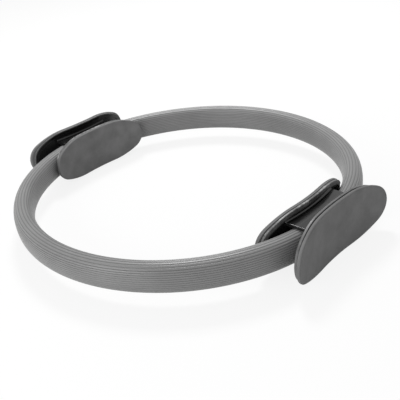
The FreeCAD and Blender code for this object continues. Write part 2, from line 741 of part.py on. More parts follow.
doc.recompute()
for item in doc.Objects:
    if "Invalid" in item.State or "Error" in item.State:
        raise RuntimeError(item.Label + " failed: " + str(item.State))
for node, piece in nodes.items():
    piece.Label = node
    if piece.Shape.isNull() or not piece.Shape.isValid():
        raise RuntimeError(node + " has no valid shape")

os.makedirs("parts", exist_ok=True)
for node, piece in nodes.items():
    piece.Shape.exportStep(f"parts/{node}.step")
    box = piece.Shape.BoundBox
    print(f"{node}: {len(piece.Shape.Solids)} solid(s), {piece.Shape.Volume / 1000:.2f} cm3,"
          f" x {box.XMin:.1f} to {box.XMax:.1f}, z {box.ZMin:.1f} to {box.ZMax:.1f}")
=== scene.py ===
import math

import bmesh
import bpy
from mathutils import Matrix, Vector, noise


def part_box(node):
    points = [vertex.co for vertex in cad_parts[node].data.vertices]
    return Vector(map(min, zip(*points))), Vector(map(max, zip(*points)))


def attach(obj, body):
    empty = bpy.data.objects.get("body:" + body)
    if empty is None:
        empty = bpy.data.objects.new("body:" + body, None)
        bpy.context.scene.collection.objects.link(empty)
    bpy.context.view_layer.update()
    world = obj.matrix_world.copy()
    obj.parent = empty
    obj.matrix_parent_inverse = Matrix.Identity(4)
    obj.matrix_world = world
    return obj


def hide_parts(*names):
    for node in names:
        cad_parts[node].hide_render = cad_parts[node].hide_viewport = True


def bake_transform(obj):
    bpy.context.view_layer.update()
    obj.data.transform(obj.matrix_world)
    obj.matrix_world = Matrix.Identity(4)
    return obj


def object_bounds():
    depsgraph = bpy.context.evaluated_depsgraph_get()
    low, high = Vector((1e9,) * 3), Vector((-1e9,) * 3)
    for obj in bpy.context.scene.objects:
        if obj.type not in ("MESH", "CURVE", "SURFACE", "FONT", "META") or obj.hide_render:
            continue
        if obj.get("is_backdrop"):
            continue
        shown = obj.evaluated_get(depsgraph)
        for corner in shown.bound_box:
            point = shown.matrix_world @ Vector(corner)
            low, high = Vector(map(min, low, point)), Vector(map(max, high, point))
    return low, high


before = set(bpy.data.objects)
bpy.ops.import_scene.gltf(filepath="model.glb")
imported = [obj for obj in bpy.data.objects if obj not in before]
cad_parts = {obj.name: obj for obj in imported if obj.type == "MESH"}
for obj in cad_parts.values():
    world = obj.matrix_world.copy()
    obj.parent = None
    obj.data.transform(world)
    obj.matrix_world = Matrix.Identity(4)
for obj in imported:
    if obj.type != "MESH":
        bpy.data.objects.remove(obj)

cad_low, cad_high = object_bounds()


# Spring leaves: three nested strips of glass-fibre laminate, each bent into a hoop and split
# once. They slide on each other inside the sleeves and are riveted together in the handles.
leaf_thickness = 0.0018
leaf_edge = 0.0003
leaf_edge_steps = 2
leaf_split = 0.001
leaf_steps = 240
hoop_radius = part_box("leaf_middle")[1].y - leaf_thickness / 2
laminate_colour = (0.46, 0.43, 0.30, 1)
resin_shade = 0.6
fibre_length = 0.012
fibre_width = 0.0004
fibre_depth = 0.0001
fibre_bump = 0.2

# Each leaf is split in one handle, beside a leaf that runs through there.
leaf_splits = {"leaf_inner": math.pi, "leaf_middle": 0, "leaf_outer": math.pi}


def add_node(tree, kind, inputs=None, **settings):
    """Add a node, set its properties, and link or set its inputs by name or number."""
    node = tree.nodes.new(kind)
    for setting, value in settings.items():
        setattr(node, setting, value)
    for socket, source in (inputs or {}).items():
        for value in source if isinstance(source, list) else [source]:
            if isinstance(value, bpy.types.NodeSocket):
                tree.links.new(value, node.inputs[socket])
            else:
                node.inputs[socket].default_value = value
    return node


def calc(tree, operation, first, second=0.0):
    return add_node(tree, "ShaderNodeMath", {0: first, 1: second}, operation=operation).outputs[0]


def toned(colour, factor):
    """A colour made lighter or darker by a factor."""
    return tuple(factor * channel for channel in colour[:3]) + (1,)


def new_finish(name, **values):
    """A material with one Principled shader, whose even values are set on its sockets."""
    material = bpy.data.materials.new(name)
    material.use_nodes = True
    shader = material.node_tree.nodes["Principled BSDF"]
    for socket, value in values.items():
        shader.inputs[socket.replace("_", " ")].default_value = value
    return material, material.node_tree, shader


def set_bump(nodes, shader, height, depth, strength):
    bump = add_node(nodes, "ShaderNodeBump", {
        "Height": height, "Distance": depth, "Strength": strength,
    })
    nodes.links.new(bump.outputs["Normal"], shader.inputs["Normal"])


def new_shape_tree(name, inputs):
    """A geometry tree with named inputs, and the sockets that they come in by."""
    tree = bpy.data.node_groups.new(name, "GeometryNodeTree")
    tree.interface.new_socket("Geometry", in_out="OUTPUT", socket_type="NodeSocketGeometry")
    for label, kind in inputs.items():
        tree.interface.new_socket(label, in_out="INPUT", socket_type=f"NodeSocket{kind}")
    return tree, tree.nodes.new("NodeGroupInput").outputs


def end_shape_tree(tree, geometry, material):
    real = add_node(tree, "GeometryNodeRealizeInstances", {"Geometry": geometry}).outputs[0]
    painted = add_node(tree, "GeometryNodeSetMaterial", {"Geometry": real, "Material": material})
    add_node(tree, "NodeGroupOutput", {"Geometry": painted.outputs[0]})


def grow(name, tree, sizes):
    """Run a geometry tree and keep its result as a plain mesh, with its faces outwards."""
    piece = bpy.data.objects.new(name, bpy.data.meshes.new(name + "_seed"))
    bpy.context.scene.collection.objects.link(piece)
    modifier = piece.modifiers.new("shape", "NODES")
    modifier.node_group = tree
    for item in tree.interface.items_tree:
        if item.in_out == "INPUT":
            modifier[item.identifier] = sizes[item.name]
    evaluated = piece.evaluated_get(bpy.context.evaluated_depsgraph_get())
    mesh = bpy.data.meshes.new_from_object(evaluated)
    piece.modifiers.remove(modifier)
    piece.data = mesh
    mesh.name = name
    shell = bmesh.new()
    shell.from_mesh(mesh)
    bmesh.ops.recalc_face_normals(shell, faces=shell.faces)
    shell.to_mesh(mesh)
    shell.free()
    return piece


laminate, nodes, shader = new_finish("glass_laminate", Roughness=0.45, Specular_IOR_Level=0.5)
place = add_node(nodes, "ShaderNodeTexCoord").outputs["Object"]
place = add_node(nodes, "ShaderNodeSeparateXYZ", {0: place}).outputs
round_hoop = calc(nodes, "ARCTAN2", place["Y"], place["X"])
along_fibres = add_node(nodes, "ShaderNodeCombineXYZ", {
    "X": calc(nodes, "MULTIPLY", round_hoop, hoop_radius / fibre_length),
    "Y": calc(nodes, "DIVIDE", place["Z"], fibre_width),
}).outputs[0]
fibres = add_node(nodes, "ShaderNodeTexNoise", {
    "Vector": along_fibres, "Scale": 1.0, "Detail": 3.0,
}).outputs["Fac"]
tint = add_node(nodes, "ShaderNodeValToRGB", {"Fac": fibres})
tint.color_ramp.elements[0].color = toned(laminate_colour, resin_shade)
tint.color_ramp.elements[1].color = laminate_colour
nodes.links.new(tint.outputs["Color"], shader.inputs["Base Color"])
set_bump(nodes, shader, fibres, fibre_depth, fibre_bump)

leaf_tree, given = new_shape_tree("spring_leaf", {
    "Radius": "Float", "Thickness": "Float", "Width": "Float", "Edge": "Float",
    "Start": "Float", "Sweep": "Float", "Steps": "Int", "Material": "Material",
})
path = add_node(leaf_tree, "GeometryNodeCurveArc", {
    "Resolution": given["Steps"], "Radius": given["Radius"],
    "Start Angle": given["Start"], "Sweep Angle": given["Sweep"],
}, mode="RADIUS").outputs[0]
section = add_node(leaf_tree, "GeometryNodeCurvePrimitiveQuadrilateral", {
    "Width": given["Thickness"], "Height": given["Width"],
}, mode="RECTANGLE").outputs[0]
section = add_node(leaf_tree, "GeometryNodeFilletCurve", {
    "Curve": section, "Radius": given["Edge"], "Count": leaf_edge_steps,
}, mode="POLY").outputs[0]
strip = add_node(leaf_tree, "GeometryNodeCurveToMesh", {
    "Curve": path, "Profile Curve": section, "Fill Caps": True,
}).outputs[0]
end_shape_tree(leaf_tree, strip, given["Material"])

for node, split in leaf_splits.items():
    low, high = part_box(node)
    radius = high.y - leaf_thickness / 2
    gap = leaf_split / radius
    leaf = grow(node + "_strip", leaf_tree, {
        "Radius": radius, "Thickness": leaf_thickness, "Width": high.z - low.z, "Edge": leaf_edge,
        "Start": split + gap / 2, "Sweep": 2 * math.pi - gap, "Steps": leaf_steps,
        "Material": laminate,
    })
    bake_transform(leaf)
    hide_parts(node)


# Sleeves: two tubes of soft foamed rubber, extruded with ribs along their length and threaded
# over the leaves. Their ends are cut square and pushed into the tunnels of the handles.
sleeve_low, sleeve_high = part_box("sleeve_rear")
sleeve_half_width = sleeve_high.y - hoop_radius
sleeve_end_angle = math.asin(sleeve_low.y / (hoop_radius - sleeve_half_width))
sleeve_starts = {"sleeve_rear": sleeve_end_angle, "sleeve_front": sleeve_end_angle - math.pi}
sleeve_fullness = 2.5
sleeve_steps = 160
sleeve_ribs = 34
rib_crowding = 0.2
rib_depth = 0.00045
rib_flatness = 4.0
rib_steps = 8
section_shoulders = 4.0
leaf_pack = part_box("leaf_outer")[1].y - (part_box("leaf_inner")[1].y - leaf_thickness)
leaf_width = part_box("leaf_middle")[1].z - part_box("leaf_middle")[0].z
bore_clearance = 0.0003
bore_corner = 0.001
bore_corner_steps = 3
weld_distance = 0.00001
sleeve_colour = (0.234, 0.234, 0.234, 1)
sleeve_rub = 1.12
# Painted shade: the colour the grooves between the ribs are darkened to.
groove_shade_colour = (0.11, 0.11, 0.11, 1)
sleeve_roughness = (0.29, 0.36)
sleeve_patch_size = 0.03
cell_size = 0.0005
cell_depth = 0.00004
cell_bump = 0.08

# Grain, for every moulded, foamed or metal surface: a fine height, and broad patches of tone or
# gloss. The noise of the patches lies mostly in this range.
patch_range = (0.3, 0.7)
grain = bpy.data.node_groups.new("grain", "ShaderNodeTree")
for label in ("Grain Size", "Patch Size"):
    grain.interface.new_socket(label, in_out="INPUT", socket_type="NodeSocketFloat")
for label in ("Height", "Patches"):
    grain.interface.new_socket(label, in_out="OUTPUT", socket_type="NodeSocketFloat")
given = grain.nodes.new("NodeGroupInput").outputs
place = add_node(grain, "ShaderNodeTexCoord").outputs["Object"]
fine = add_node(grain, "ShaderNodeTexNoise", {
    "Vector": place, "Scale": calc(grain, "DIVIDE", 1.0, given["Grain Size"]), "Detail": 3.0,
})
broad = add_node(grain, "ShaderNodeTexNoise", {
    "Vector": place, "Scale": calc(grain, "DIVIDE", 1.0, given["Patch Size"]), "Detail": 4.0,
})
add_node(grain, "NodeGroupOutput", {
    "Height": fine.outputs["Fac"], "Patches": broad.outputs["Fac"],
})


def add_grain(nodes, grain_size, patch_size):
    made = add_node(nodes, "ShaderNodeGroup", node_tree=grain)
    made.inputs["Grain Size"].default_value = grain_size
    made.inputs["Patch Size"].default_value = patch_size
    return made.outputs


def mix_colours(nodes, share, first, second):
    made = add_node(nodes, "ShaderNodeMix", {0: share, 6: first, 7: second}, data_type="RGBA")
    return made.outputs[2]


def spread(nodes, value, source, target=(0.0, 1.0)):
    """A value moved from one range to another, and held inside it."""
    made = add_node(nodes, "ShaderNodeMapRange", {
        "Value": value, "From Min": source[0], "From Max": source[1],
        "To Min": target[0], "To Max": target[1],
    })
    return made.outputs[0]


foamed_rubber, nodes, shader = new_finish("foamed_rubber", Specular_IOR_Level=0.38)
surface = add_grain(nodes, cell_size, sleeve_patch_size)
groove = add_node(nodes, "ShaderNodeAttribute", attribute_name="groove").outputs["Fac"]
crest_tone = mix_colours(nodes, spread(nodes, surface["Patches"], patch_range),
                         sleeve_colour, toned(sleeve_colour, sleeve_rub))
# Painted shade: the grooves between the ribs are darkened by their depth, where shade would fall in
# them.
tone = mix_colours(nodes, groove, crest_tone, groove_shade_colour)
nodes.links.new(tone, shader.inputs["Base Color"])
satin = spread(nodes, surface["Patches"], patch_range, sleeve_roughness)
nodes.links.new(satin, shader.inputs["Roughness"])
set_bump(nodes, shader, surface["Height"], cell_depth, cell_bump)

sleeve_tree, given = new_shape_tree("ribbed_sleeve", {
    "Hoop Radius": "Float", "Half Width": "Float", "Half Height": "Float", "Fullness": "Float",
    "Ribs": "Int", "Rib Crowding": "Float", "Rib Depth": "Float", "Rib Flatness": "Float",
    "Rib Steps": "Int", "Bore Width": "Float", "Bore Height": "Float", "Bore Corner": "Float",
    "Start": "Float", "Sweep": "Float", "Steps": "Int", "Material": "Material",
})
path = add_node(sleeve_tree, "GeometryNodeCurveArc", {
    "Resolution": given["Steps"], "Radius": given["Hoop Radius"],
    "Start Angle": given["Start"], "Sweep Angle": given["Sweep"],
}, mode="RADIUS").outputs[0]

# How far each point of the section is drawn in: nought on a rib's crest, one in a groove.
points = calc(sleeve_tree, "MULTIPLY", given["Ribs"], given["Rib Steps"])
index = add_node(sleeve_tree, "GeometryNodeInputIndex").outputs[0]
ribs_passed = calc(sleeve_tree, "DIVIDE", index, given["Rib Steps"])
across = calc(sleeve_tree, "FRACT", calc(sleeve_tree, "ADD", ribs_passed, 0.5))
from_crest = calc(sleeve_tree, "SUBTRACT", calc(sleeve_tree, "MULTIPLY", across, 2.0), 1.0)
sunk = calc(sleeve_tree, "POWER", calc(sleeve_tree, "ABSOLUTE", from_crest), given["Rib Flatness"])
drawn_in = calc(sleeve_tree, "MULTIPLY", sunk, given["Rib Depth"])

# The points go round a full oval, and the ribs crowd towards its shoulders.
even_angle = calc(sleeve_tree, "MULTIPLY", calc(sleeve_tree, "DIVIDE", index, points), 2 * math.pi)
to_shoulders = calc(sleeve_tree, "SINE",
                    calc(sleeve_tree, "MULTIPLY", even_angle, section_shoulders))
crowding = calc(sleeve_tree, "DIVIDE", given["Rib Crowding"], section_shoulders)
angle = calc(sleeve_tree, "ADD", even_angle, calc(sleeve_tree, "MULTIPLY", to_shoulders, crowding))
shares = []
for operation, half in (("COSINE", "Half Width"), ("SINE", "Half Height")):
    share = calc(sleeve_tree, "DIVIDE", calc(sleeve_tree, operation, angle),
                 calc(sleeve_tree, "SUBTRACT", given[half], drawn_in))
    shares.append(calc(sleeve_tree, "POWER", calc(sleeve_tree, "ABSOLUTE", share), given["Fullness"]))
reach = calc(sleeve_tree, "POWER", calc(sleeve_tree, "ADD", shares[0], shares[1]),
             calc(sleeve_tree, "DIVIDE", -1.0, given["Fullness"]))
on_oval = add_node(sleeve_tree, "ShaderNodeCombineXYZ", {
    "X": calc(sleeve_tree, "MULTIPLY", calc(sleeve_tree, "COSINE", angle), reach),
    "Y": calc(sleeve_tree, "MULTIPLY", calc(sleeve_tree, "SINE", angle), reach),
}).outputs[0]
ribbed = add_node(sleeve_tree, "GeometryNodeCurvePrimitiveCircle", {
    "Resolution": points,
}, mode="RADIUS").outputs[0]
ribbed = add_node(sleeve_tree, "GeometryNodeSetPosition", {
    "Geometry": ribbed, "Position": on_oval,
}).outputs[0]
ribbed = add_node(sleeve_tree, "GeometryNodeStoreNamedAttribute", {
    "Geometry": ribbed, "Name": "groove", "Value": sunk,
}, data_type="FLOAT", domain="POINT").outputs[0]

# The bore for the leaves, the walls of both, and a cut face at each end.
bore = add_node(sleeve_tree, "GeometryNodeCurvePrimitiveQuadrilateral", {
    "Width": given["Bore Width"], "Height": given["Bore Height"],
}, mode="RECTANGLE").outputs[0]
bore = add_node(sleeve_tree, "GeometryNodeFilletCurve", {
    "Curve": bore, "Radius": given["Bore Corner"], "Count": bore_corner_steps,
}, mode="POLY").outputs[0]
walls = []
for outline in (ribbed, bore):
    tube = add_node(sleeve_tree, "GeometryNodeCurveToMesh", {"Curve": path, "Profile Curve": outline})
    walls.append(tube.outputs[0])
both = add_node(sleeve_tree, "GeometryNodeJoinGeometry", {"Geometry": [ribbed, bore]}).outputs[0]
cut_face = add_node(sleeve_tree, "GeometryNodeFillCurve", {"Curve": both}, mode="TRIANGLES").outputs[0]
cut_face = add_node(sleeve_tree, "GeometryNodeSetShadeSmooth", {
    "Geometry": cut_face, "Shade Smooth": False,
}).outputs[0]
out_to_hoop = add_node(sleeve_tree, "ShaderNodeCombineXYZ", {"X": given["Hoop Radius"]}).outputs[0]
cut_face = add_node(sleeve_tree, "GeometryNodeTransform", {
    "Geometry": cut_face, "Translation": out_to_hoop, "Rotation": (math.pi / 2, 0, 0),
}).outputs[0]
for turn in (given["Start"], calc(sleeve_tree, "ADD", given["Start"], given["Sweep"])):
    about_hoop = add_node(sleeve_tree, "ShaderNodeCombineXYZ", {"Z": turn}).outputs[0]
    end = add_node(sleeve_tree, "GeometryNodeTransform", {"Geometry": cut_face, "Rotation": about_hoop})
    walls.append(end.outputs[0])
closed = add_node(sleeve_tree, "GeometryNodeJoinGeometry", {"Geometry": walls}).outputs[0]
closed = add_node(sleeve_tree, "GeometryNodeMergeByDistance", {
    "Geometry": closed, "Distance": weld_distance,
}).outputs[0]
end_shape_tree(sleeve_tree, closed, given["Material"])

for node, start in sleeve_starts.items():
    sleeve = grow(node + "_tube", sleeve_tree, {
        "Hoop Radius": hoop_radius, "Half Width": sleeve_half_width, "Half Height": sleeve_high.z,
        "Fullness": sleeve_fullness, "Ribs": sleeve_ribs, "Rib Crowding": rib_crowding,
        "Rib Depth": rib_depth, "Rib Flatness": rib_flatness, "Rib Steps": rib_steps,
        "Bore Width": leaf_pack + 2 * bore_clearance,
        "Bore Height": leaf_width + 2 * bore_clearance,
        "Bore Corner": bore_corner, "Start": start, "Sweep": math.pi - 2 * sleeve_end_angle,
        "Steps": sleeve_steps, "Material": foamed_rubber,
    })
    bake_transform(sleeve)
    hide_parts(node)


# Rivets and washers: two aluminium rivets in each handle, closed over zinc-plated washers,
# hold the ends of the leaves to each other and to the clamp block.
handles = ("left", "right")
rivet_colour = (0.72, 0.72, 0.73, 1)
rivet_grain_size = 0.0003
rivet_roughness = (0.32, 0.48)
zinc_colour = (0.56, 0.57, 0.58, 1)
zinc_grain_size = 0.0002
zinc_roughness = (0.25, 0.42)
metal_patch_size = 0.004
metal_grain_depth = 0.00002
metal_bump = 0.3


def dress(node, material):
    """Give a solid of the frame its finish."""
    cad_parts[node].data.materials.clear()
    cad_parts[node].data.materials.append(material)


def new_metal(name, colour, grain_size, roughness):
    """Bare or plated metal with handling marks in its gloss."""
    material, nodes, shader = new_finish(name, Base_Color=colour, Metallic=1.0)
    surface = add_grain(nodes, grain_size, metal_patch_size)
    gloss = spread(nodes, surface["Patches"], patch_range, roughness)
    nodes.links.new(gloss, shader.inputs["Roughness"])
    set_bump(nodes, shader, surface["Height"], metal_grain_depth, metal_bump)
    return material


rivet_metal = new_metal("drawn_aluminium", rivet_colour, rivet_grain_size, rivet_roughness)
zinc_plate = new_metal("zinc_plate", zinc_colour, zinc_grain_size, zinc_roughness)
for side in handles:
    dress(f"{side}_leaf_rivets", rivet_metal)
    dress(f"{side}_rivet_washers", zinc_plate)


# Clamp blocks: matt moulded plastic blocks that fill each handle between its inner plate and
# the leaves. The rivets pass through them.
clamp_colour = (0.03, 0.03, 0.03, 1)
clamp_worn_colour = (0.045, 0.045, 0.045, 1)
clamp_patch_size = 0.01
clamp_grain_size = 0.0004
clamp_grain_depth = 0.00005
clamp_bump = 0.5
matt_plastic, nodes, shader = new_finish("matt_plastic", Roughness=0.6)
surface = add_grain(nodes, clamp_grain_size, clamp_patch_size)
worn = spread(nodes, surface["Patches"], patch_range)
tone = mix_colours(nodes, worn, clamp_colour, clamp_worn_colour)
nodes.links.new(tone, shader.inputs["Base Color"])
set_bump(nodes, shader, surface["Height"], clamp_grain_depth, clamp_bump)
for side in handles:
    dress(f"{side}_clamp_block", matt_plastic)


# Shells: two black plastic mouldings to a handle, closed round the hoop like a clamshell.
# Semi-gloss in the hollows, with rims rubbed grey where the plates touch floors and bags, and painted
# lighter where the exposed rims catch the sky, with a painted highlight along their edges.
plate_outlines = {
    "outer": {"Flat": 0.0238, "End Drop": 0.0062},
    "inner": {"Flat": 0.021, "End Drop": 0.0053},
}
shell_colour = (0.007, 0.007, 0.007, 1)
shell_roughness = (0.14, 0.22)
shell_patch_size = 0.02
shell_grain_size = 0.0007
shell_grain_depth = 0.00003
shell_bump = 0.25
# Grey of the rims: partly rubbed wear, partly painted light on the exposed rim, and the colour of the
# painted edge highlight.
rim_wear_and_light_colour = (0.2, 0.2, 0.2, 1)
rubbed_roughness = 0.4
rim_widths = {"outer": 0.0018, "inner": 0.0048}
rim_fade = 0.0022
rim_wear_and_light_range = (0.35, 0.62)
rim_wear_and_light_share = (0.3, 1.0)
edge_reach = 0.0009
edge_samples = 8
edge_turn = (0.99, 0.85)
edge_highlight_share = 0.15
# Pale scuff marks near the outline, partly scuffed wear, partly painted glints.
scuff_and_glint_colour = (0.42, 0.42, 0.42, 1)
scuff_size = 0.02
scuff_and_glint_depth = (0.0022, 0.0006)
scuff_and_glint_starts = {"outer": 0.62, "inner": 0.5}
scuff_and_glint_softness = 0.1


def square(nodes, value):
    return calc(nodes, "MULTIPLY", value, value)


def distance(nodes, first, second):
    return calc(nodes, "SQRT", calc(nodes, "ADD", square(nodes, first), square(nodes, second)))


def choose(nodes, condition, low, high):
    """The high value where the condition is above nought, and the low one elsewhere."""
    share = calc(nodes, "GREATER_THAN", condition, 0.0)
    made = add_node(nodes, "ShaderNodeMix", {0: share, 2: low, 3: high}, data_type="FLOAT")
    return made.outputs[0]


# Depth behind a plate's outline, for the rims of both kinds of shell. A quarter of the outline
# is a straight edge, a shoulder arc and an end arc, tangent to each other.
behind_outline = bpy.data.node_groups.new("behind_outline", "ShaderNodeTree")
for label in ("Half Length", "Half Height", "Flat", "End Drop"):
    behind_outline.interface.new_socket(label, in_out="INPUT", socket_type="NodeSocketFloat")
behind_outline.interface.new_socket("Depth", in_out="OUTPUT", socket_type="NodeSocketFloat")
nodes = behind_outline
given = nodes.nodes.new("NodeGroupInput").outputs
place = add_node(nodes, "ShaderNodeTexCoord").outputs["Object"]
place = add_node(nodes, "ShaderNodeSeparateXYZ", {0: place}).outputs
along = calc(nodes, "ABSOLUTE", place["Y"])
above = calc(nodes, "ABSOLUTE", place["Z"])
past_flat = calc(nodes, "SUBTRACT", along, given["Flat"])
end = calc(nodes, "SUBTRACT", given["Half Height"], given["End Drop"])
end_middle = calc(nodes, "SUBTRACT", given["Half Length"], end)
across = calc(nodes, "SUBTRACT", end_middle, given["Flat"])
squares = calc(nodes, "ADD", square(nodes, across),
               calc(nodes, "SUBTRACT", square(nodes, given["Half Height"]), square(nodes, end)))
shoulder = calc(nodes, "DIVIDE", squares, calc(nodes, "MULTIPLY", 2.0, given["End Drop"]))
below = calc(nodes, "SUBTRACT", shoulder, given["Half Height"])
rise = calc(nodes, "ADD", above, below)
from_edge = calc(nodes, "SUBTRACT", given["Half Height"], above)
from_shoulder = calc(nodes, "SUBTRACT", shoulder, distance(nodes, past_flat, rise))
past_middle = calc(nodes, "SUBTRACT", along, end_middle)
from_end = calc(nodes, "SUBTRACT", end, distance(nodes, past_middle, above))
in_end = calc(nodes, "SUBTRACT", calc(nodes, "MULTIPLY", below, past_flat),
              calc(nodes, "MULTIPLY", across, rise))
depth = choose(nodes, in_end, choose(nodes, past_flat, from_edge, from_shoulder), from_end)
add_node(nodes, "NodeGroupOutput", {"Depth": depth})


def edge_mask(nodes):
    """How near a point is to an edge, from how far a rounded normal turns away there."""
    true_normal = add_node(nodes, "ShaderNodeNewGeometry").outputs["Normal"]
    round_normal = add_node(nodes, "ShaderNodeBevel", {
        "Radius": edge_reach,
    }, samples=edge_samples).outputs[0]
    agree = add_node(nodes, "ShaderNodeVectorMath", {
        0: true_normal, 1: round_normal,
    }, operation="DOT_PRODUCT").outputs["Value"]
    return spread(nodes, agree, edge_turn)


def new_shell_finish(which):
    """Black plastic, grey on the rim from rubbing and painted light, a painted edge highlight, and pale
    scuff marks with painted glints along the outline.
    """
    finish, nodes, shader = new_finish(f"moulded_black_{which}", Specular_IOR_Level=0.4)
    surface = add_grain(nodes, shell_grain_size, shell_patch_size)
    outline = add_node(nodes, "ShaderNodeGroup", node_tree=behind_outline)
    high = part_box(f"right_{which}_shell")[1]
    sizes = {"Half Length": high.y, "Half Height": high.z, **plate_outlines[which]}
    for socket, value in sizes.items():
        outline.inputs[socket].default_value = value
    depth = outline.outputs["Depth"]
    # The rim's grey: partly rubbed wear, partly painted light where the exposed rim catches the sky.
    rim = spread(nodes, depth, (rim_widths[which], rim_widths[which] - rim_fade))
    scratches = add_node(nodes, "ShaderNodeTexNoise", {
        "Vector": add_node(nodes, "ShaderNodeTexCoord").outputs["Object"],
        "Scale": 1 / scuff_size, "Detail": 7.0, "Roughness": 0.8,
    }).outputs["Fac"]
    worn = calc(nodes, "MULTIPLY", rim, spread(nodes, scratches, rim_wear_and_light_range, rim_wear_and_light_share))
    # Painted highlight along every edge, where the rounded normal turns away.
    edge = calc(nodes, "MULTIPLY", edge_mask(nodes), edge_highlight_share)
    rim_wear_and_light = calc(nodes, "MAXIMUM", worn, edge)
    # Pale scuff marks near the outline, with painted glints where the rim's edge catches light.
    scuff_glint_band = (scuff_and_glint_starts[which], scuff_and_glint_starts[which] + scuff_and_glint_softness)
    scuffs_and_glints = calc(nodes, "MULTIPLY", spread(nodes, depth, scuff_and_glint_depth),
                   spread(nodes, scratches, scuff_glint_band))
    tone = mix_colours(nodes, rim_wear_and_light, shell_colour, rim_wear_and_light_colour)
    tone = mix_colours(nodes, scuffs_and_glints, tone, scuff_and_glint_colour)
    nodes.links.new(tone, shader.inputs["Base Color"])
    gloss = spread(nodes, surface["Patches"], patch_range, shell_roughness)
    dull = calc(nodes, "MULTIPLY", rim_wear_and_light, rubbed_roughness)
    nodes.links.new(calc(nodes, "ADD", gloss, dull), shader.inputs["Roughness"])
    set_bump(nodes, shader, surface["Height"], shell_grain_depth, shell_bump)
    return finish


for which in plate_outlines:
    moulded_black = new_shell_finish(which)
    for side in handles:
        dress(f"{side}_{which}_shell", moulded_black)


# Shell screws: zinc-plated socket screws through the inner shell into bosses of the outer one,
# four in each handle, with their heads under the inner pad.
for side in handles:
    dress(f"{side}_shell_screws", zinc_plate)


# Pads: grey soft foam with a fine matt skin, cut to a long oval with a rounded edge, bent to
# the hollow of the shells and glued on. They stand slightly proud in the middle.
pad_shapes = {
    "outer": {"face_radius": 0.259, "faces": -1, "back_edge": 0.0012},
    "inner": {"face_radius": 0.215, "faces": 1, "back_edge": 0.0002},
}
pad_thickness = 0.0036
pad_edge = 0.0014
pad_crown = 0.0003
pad_sway = 0.00005
pad_sway_length = 0.025
pad_face_rings = 12
pad_edge_rings = 6
pad_back_rings = (0.35, 0.7, 1.0)
pad_back_rim = 0.6
pad_arc_steps = 14
pad_flat_steps = 10
pad_colour = (0.152, 0.152, 0.152, 1)
pad_pale_colour = (0.212, 0.212, 0.212, 1)
# Paler rounded edge of the pads: partly rubbed skin, partly a painted highlight.
pad_rim_rub_and_highlight_colour = (0.17, 0.17, 0.17, 1)
pad_pale_range = (0.35, 0.65)
pad_rim_patch_range = (0.4, 0.7)
pad_roughness = (0.62, 0.78)
pad_patch_size = 0.018
pad_grain_size = 0.0004
pad_grain_depth = 0.00005
pad_bump = 0.6

foam_skin, nodes, shader = new_finish("foam_skin", Specular_IOR_Level=0.3)
surface = add_grain(nodes, pad_grain_size, pad_patch_size)
pale = spread(nodes, surface["Patches"], pad_pale_range)
tone = mix_colours(nodes, pale, pad_colour, pad_pale_colour)
# The rounded edge is paler: partly rubbed skin, partly a painted highlight along the edge.
rim = add_node(nodes, "ShaderNodeAttribute", attribute_name="rim").outputs["Fac"]
rim_rubs_and_highlight = calc(nodes, "MULTIPLY", rim, spread(nodes, surface["Patches"], pad_rim_patch_range))
tone = mix_colours(nodes, rim_rubs_and_highlight, tone, pad_rim_rub_and_highlight_colour)
nodes.links.new(tone, shader.inputs["Base Color"])
matt = spread(nodes, surface["Patches"], patch_range, pad_roughness)
nodes.links.new(matt, shader.inputs["Roughness"])
set_bump(nodes, shader, surface["Height"], pad_grain_depth, pad_bump)


def oval_quarter(half_length, half_height, flat, end_drop, inset):
    """A quarter of the pad's outline, from the middle of its top edge to its tip, drawn back
    by an inset: a straight edge, a shoulder arc and an end arc, tangent to each other."""
    end = half_height - end_drop
    end_middle = half_length - end
    across = end_middle - flat
    shoulder = (across ** 2 + half_height ** 2 - end ** 2) / (2 * end_drop)
    joint = math.atan2(shoulder - half_height, across)
    quarter = []
    for step in range(pad_flat_steps):
        quarter.append((flat * step / pad_flat_steps, half_height - inset))
    for step in range(pad_arc_steps):
        turn = math.pi / 2 + (joint - math.pi / 2) * step / pad_arc_steps
        radius = shoulder - inset
        rise = half_height - shoulder + radius * math.sin(turn)
        quarter.append((flat + radius * math.cos(turn), rise))
    for step in range(pad_arc_steps + 1):
        turn = joint * (1 - step / pad_arc_steps)
        radius = end - inset
        quarter.append((end_middle + radius * math.cos(turn), radius * math.sin(turn)))
    return quarter


def oval(*shape):
    """The whole outline, anticlockwise from the tip."""
    quarter = oval_quarter(*shape)
    upper = quarter[::-1] + [(-y, z) for y, z in quarter[1:]]
    return upper + [(y, -z) for y, z in upper[-2:0:-1]]


